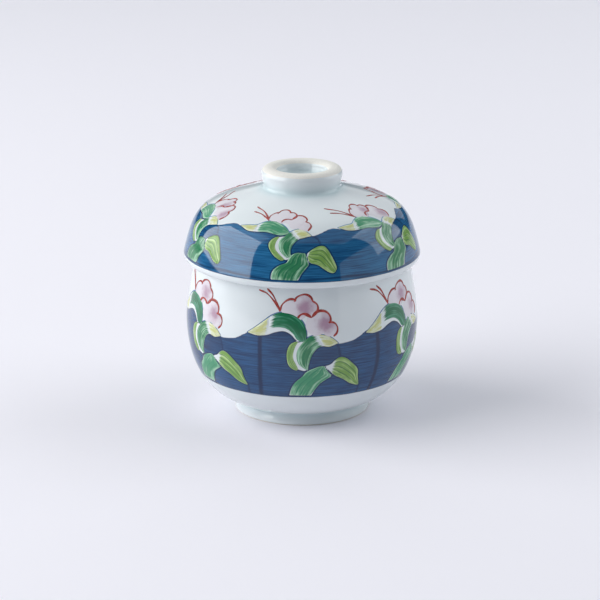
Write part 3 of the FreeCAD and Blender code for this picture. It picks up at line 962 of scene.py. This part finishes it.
def table_top(name, colours):
    """A pale matt table, with a faint change of tone over it."""
    graph = Graph(name, Specular_IOR_Level=0.2)
    cloud = graph.noise(graph.place(), 1.4, 2.0)
    shaded = tuple(0.8 * share for share in colours.floor)
    graph.feed("Base Color", graph.blend(cloud * 0.06, colours.floor, shaded))
    graph.feed("Roughness", 0.75 + (cloud - 0.5) * 0.05)
    return graph.material


# ---------------------------------------------------------------- operators

BARE_FOOT = 0.45 * MM   # how far up from the ground the foot ring was wiped of glaze


class CUP_OT_painted_bowl(bpy.types.Operator):
    """Build the bowl with its foot ring, painted wall and hollow"""
    bl_idname = "cup.painted_bowl"
    bl_label = "Painted bowl"

    def execute(self, context):
        sizes, colours = context.scene.cup_bowl, context.scene.cup_colours
        neck = sizes.foot_radius - sizes.foot_taper
        recess = sizes.foot_radius - sizes.foot_wall
        shell = painted_body(
            context, "bowl",
            bare=lambda line: (line[:, 1] < BARE_FOOT) & (line[:, 0] > recess - 0.1 * MM),
            pooled=[(neck, sizes.foot_height, 2.0 * MM), (recess, sizes.recess_depth, 2.0 * MM)])
        material = porcelain("bowl porcelain", colours, (colours.bowl_deep, colours.bowl_thin), 0.6)
        piece = build_piece("painted_bowl", [shell], material, "bowl")
        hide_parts("bowl")
        return {"FINISHED"}


class CUP_OT_painted_lid(bpy.types.Operator):
    """Build the lid with its ring knob, painted dome and lip"""
    bl_idname = "cup.painted_lid"
    bl_label = "Painted lid"

    def execute(self, context):
        sizes, colours = context.scene.cup_lid, context.scene.cup_colours
        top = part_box("lid")[1].z
        dome = context.scene.cup_bowl.mouth_height + sizes.dome_height
        shell = painted_body(
            context, "lid",
            bare=lambda line: line[:, 1] > top - sizes.bare_rim,
            pooled=[(sizes.knob_radius, dome, 2.6 * MM),
                    (sizes.knob_bore, top - sizes.knob_depth, 1.6 * MM)])
        material = porcelain("lid porcelain", colours, (colours.lid_deep, colours.lid_thin), 0.05)
        piece = build_piece("painted_lid", [shell], material, "lid")
        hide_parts("lid")
        return {"FINISHED"}


class CUP_OT_green_leaves(bpy.types.Operator):
    """Lay the green enamel on the bowl's and the lid's leaves"""
    bl_idname = "cup.green_leaves"
    bl_label = "Green leaves"

    def execute(self, context):
        colours = context.scene.cup_colours
        greens = {
            kind: streaked_enamel(kind + " enamel", colours, deep, thin, cover, veins)
            for kind, deep, thin, cover, veins in (
                ("deep green", colours.leaf_deep, colours.leaf_mid, 0.50, 0.35),
                ("green", colours.leaf_half, colours.leaf_thin, 0.52, 0.55),
                ("light green", colours.leaf_fresh, colours.leaf_thin, 0.50, 0.30))}
        for node in WALLS:
            for kind, material in greens.items():
                lay_leaves(context, node, kind, kind.replace(" ", "_") + "_leaves", material)
        return {"FINISHED"}


class CUP_OT_lime_leaves(bpy.types.Operator):
    """Lay the yellow green enamel"""
    bl_idname = "cup.lime_leaves"
    bl_label = "Lime leaves"

    def execute(self, context):
        colours = context.scene.cup_colours
        material = streaked_enamel("lime enamel", colours, colours.lime_deep, colours.lime_thin, 0.50, 0.75)
        for node in WALLS:
            lay_leaves(context, node, "lime", "lime_leaves", material)
        return {"FINISHED"}


class CUP_OT_yellow_tips(bpy.types.Operator):
    """Lay the yellow enamel on the leaves' turned tips"""
    bl_idname = "cup.yellow_tips"
    bl_label = "Yellow tips"

    def execute(self, context):
        colours = context.scene.cup_colours
        deep, thin = colours.yellow_deep, colours.yellow_thin
        material = streaked_enamel("yellow enamel", colours, deep, thin, 0.36, 0.10)
        for node in WALLS:
            lay_leaves(context, node, "yellow", "yellow_tips", material)
        return {"FINISHED"}


class CUP_OT_petals(bpy.types.Operator):
    """Lay the pink wash of the blossoms"""
    bl_idname = "cup.petals"
    bl_label = "Petals"

    def execute(self, context):
        material = petal_wash("petal enamel", context.scene.cup_colours)
        for node in WALLS:
            wall, motif = WALLS[node](context)[2], MOTIFS[node]
            shells = [petal_shell(wall, motif, index, *flower, RISE["petal"])
                      for index in range(REPEATS) for flower in motif.petals]
            build_piece(f"{node}_petals", shells, material, node)
        return {"FINISHED"}


class CUP_OT_red_lines(bpy.types.Operator):
    """Draw the red outlines and stamens of the blossoms"""
    bl_idname = "cup.red_lines"
    bl_label = "Red lines"

    def execute(self, context):
        material = red_line("iron red", context.scene.cup_colours)
        for node in WALLS:
            wall, motif = WALLS[node](context)[2], MOTIFS[node]
            shells = [line_shell(wall, motif, index, LINE_SPREAD * half_width, places, RISE["red line"])
                      for index in range(REPEATS) for half_width, places in motif.red_lines]
            build_piece(f"{node}_red_lines", shells, material, node)
        return {"FINISHED"}


def soft_panel(name, middle, aim, width, height, brightness, tint):
    """A studio panel: an area light at one place that faces another.  Its power is its brightness times
    its area."""
    light = bpy.data.lights.new(name, "AREA")
    light.shape = "RECTANGLE"
    light.size, light.size_y = width, height
    light.energy = brightness * width * height
    light.color = tint
    panel = bpy.data.objects.new(name, light)
    direction = Vector(aim) - Vector(middle)
    panel.rotation_euler = direction.to_track_quat("-Z", "Y").to_euler()
    panel.location = middle
    bpy.context.scene.collection.objects.link(panel)


# Each panel's name, middle, aim, width, height, brightness and tint.
PANELS = [
    ("key panel", (-1.20, -0.15, 0.78), (0, -0.15, 0.78), 1.71, 1.35, 12.0, (0.97, 0.975, 0.965)),
    ("high key panel", (-1.20, -0.30, 1.95), (0, -0.30, 1.95), 1.35, 0.99, 1.8, (0.97, 0.975, 0.965)),
    ("side panel", (1.35, -0.45, 0.33), (0, -0.45, 0.33), 2.7, 0.66, 2.1, (0.95, 0.945, 0.89)),
    ("right panel", (1.30, 0.30, 0.90), (0, 0, 0.05), 1.4, 1.2, 5.3, (0.94, 0.98, 1.0)),
    ("back panel", (0.0, 2.40, 1.20), (0, 0, 0.10), 3.6, 1.6, 2.0, (0.93, 0.91, 0.92)),
    ("high back panel", (0.0, 2.00, 1.80), (0, 1.30, 0), 4.0, 1.8, 0.85, (0.88, 0.98, 0.95)),
    ("sky panel", (0.0, 0.30, 2.40), (0, 0.30, 0), 4.5, 4.5, 1.4, (0.94, 0.91, 0.91)),
]
ROOM_TINT = (0.46, 0.74, 1.0)   # the light that comes from everywhere else
ROOM = 0.10                     # and its strength


class CUP_OT_stage(bpy.types.Operator):
    """Set the table, the studio panels and the camera"""
    bl_idname = "cup.stage"
    bl_label = "Stage"

    def execute(self, context):
        stage, colours = context.scene.cup_stage, context.scene.cup_colours
        half = stage.floor_size / 2
        mesh = bpy.data.meshes.new("table_top")
        corners = [(-half, -half, 0), (half, -half, 0), (half, half, 0), (-half, half, 0)]
        mesh.from_pydata(corners, [], [(0, 1, 2, 3)])
        mesh.materials.append(table_top("pale table", colours))
        floor = bpy.data.objects.new("table_top", mesh)
        context.scene.collection.objects.link(floor)
        for panel in PANELS:
            soft_panel(*panel)
        world = bpy.data.worlds.new("studio")
        world.use_nodes = True
        background = world.node_tree.nodes["Background"]
        background.inputs["Color"].default_value = (*ROOM_TINT, 1.0)
        background.inputs["Strength"].default_value = ROOM
        context.scene.world = world
        camera = bpy.data.objects.new("camera", bpy.data.cameras.new("camera"))
        camera.data.lens = stage.focal
        camera.data.sensor_width = 36.0
        aim = Vector((stage.aim_side, 0, stage.aim_height))
        back = Vector((0, -math.cos(stage.elevation), math.sin(stage.elevation)))
        camera.location = aim + back * stage.distance
        camera.rotation_euler = (-back).to_track_quat("-Z", "Y").to_euler()
        context.scene.collection.objects.link(camera)
        context.scene.camera = camera
        context.scene.view_settings.view_transform = "Standard"
        return {"FINISHED"}


OPERATORS = (CUP_OT_stage, CUP_OT_painted_bowl, CUP_OT_painted_lid, CUP_OT_green_leaves, CUP_OT_lime_leaves,
             CUP_OT_yellow_tips, CUP_OT_petals, CUP_OT_red_lines)
GROUPS = {"cup_bowl": BowlSizes, "cup_lid": LidSizes, "cup_colours": CupColours, "cup_stage": StageSizes}


class CUP_PT_panel(bpy.types.Panel):
    """List the cup's operators, sizes and colours in the sidebar"""
    bl_label = "Steaming cup"
    bl_idname = "CUP_PT_panel"
    bl_space_type = "VIEW_3D"
    bl_region_type = "UI"
    bl_category = "Cup"

    def draw(self, context):
        for operator in OPERATORS:
            self.layout.operator(operator.bl_idname)
        for group, cls in GROUPS.items():
            box = self.layout.box()
            for name in cls.__annotations__:
                box.prop(getattr(context.scene, group), name)


def register():
    for cls in (*GROUPS.values(), *OPERATORS, CUP_PT_panel):
        bpy.utils.register_class(cls)
    for name, cls in GROUPS.items():
        setattr(bpy.types.Scene, name, bpy.props.PointerProperty(type=cls))


def unregister():
    for name in GROUPS:
        delattr(bpy.types.Scene, name)
    for cls in (CUP_PT_panel, *reversed(OPERATORS), *reversed(GROUPS.values())):
        bpy.utils.unregister_class(cls)


def main():
    """Builds everything."""
    register()
    for operator in OPERATORS:
        getattr(bpy.ops.cup, operator.bl_idname.split(".")[1])()


if __name__ == "__main__":
    main()
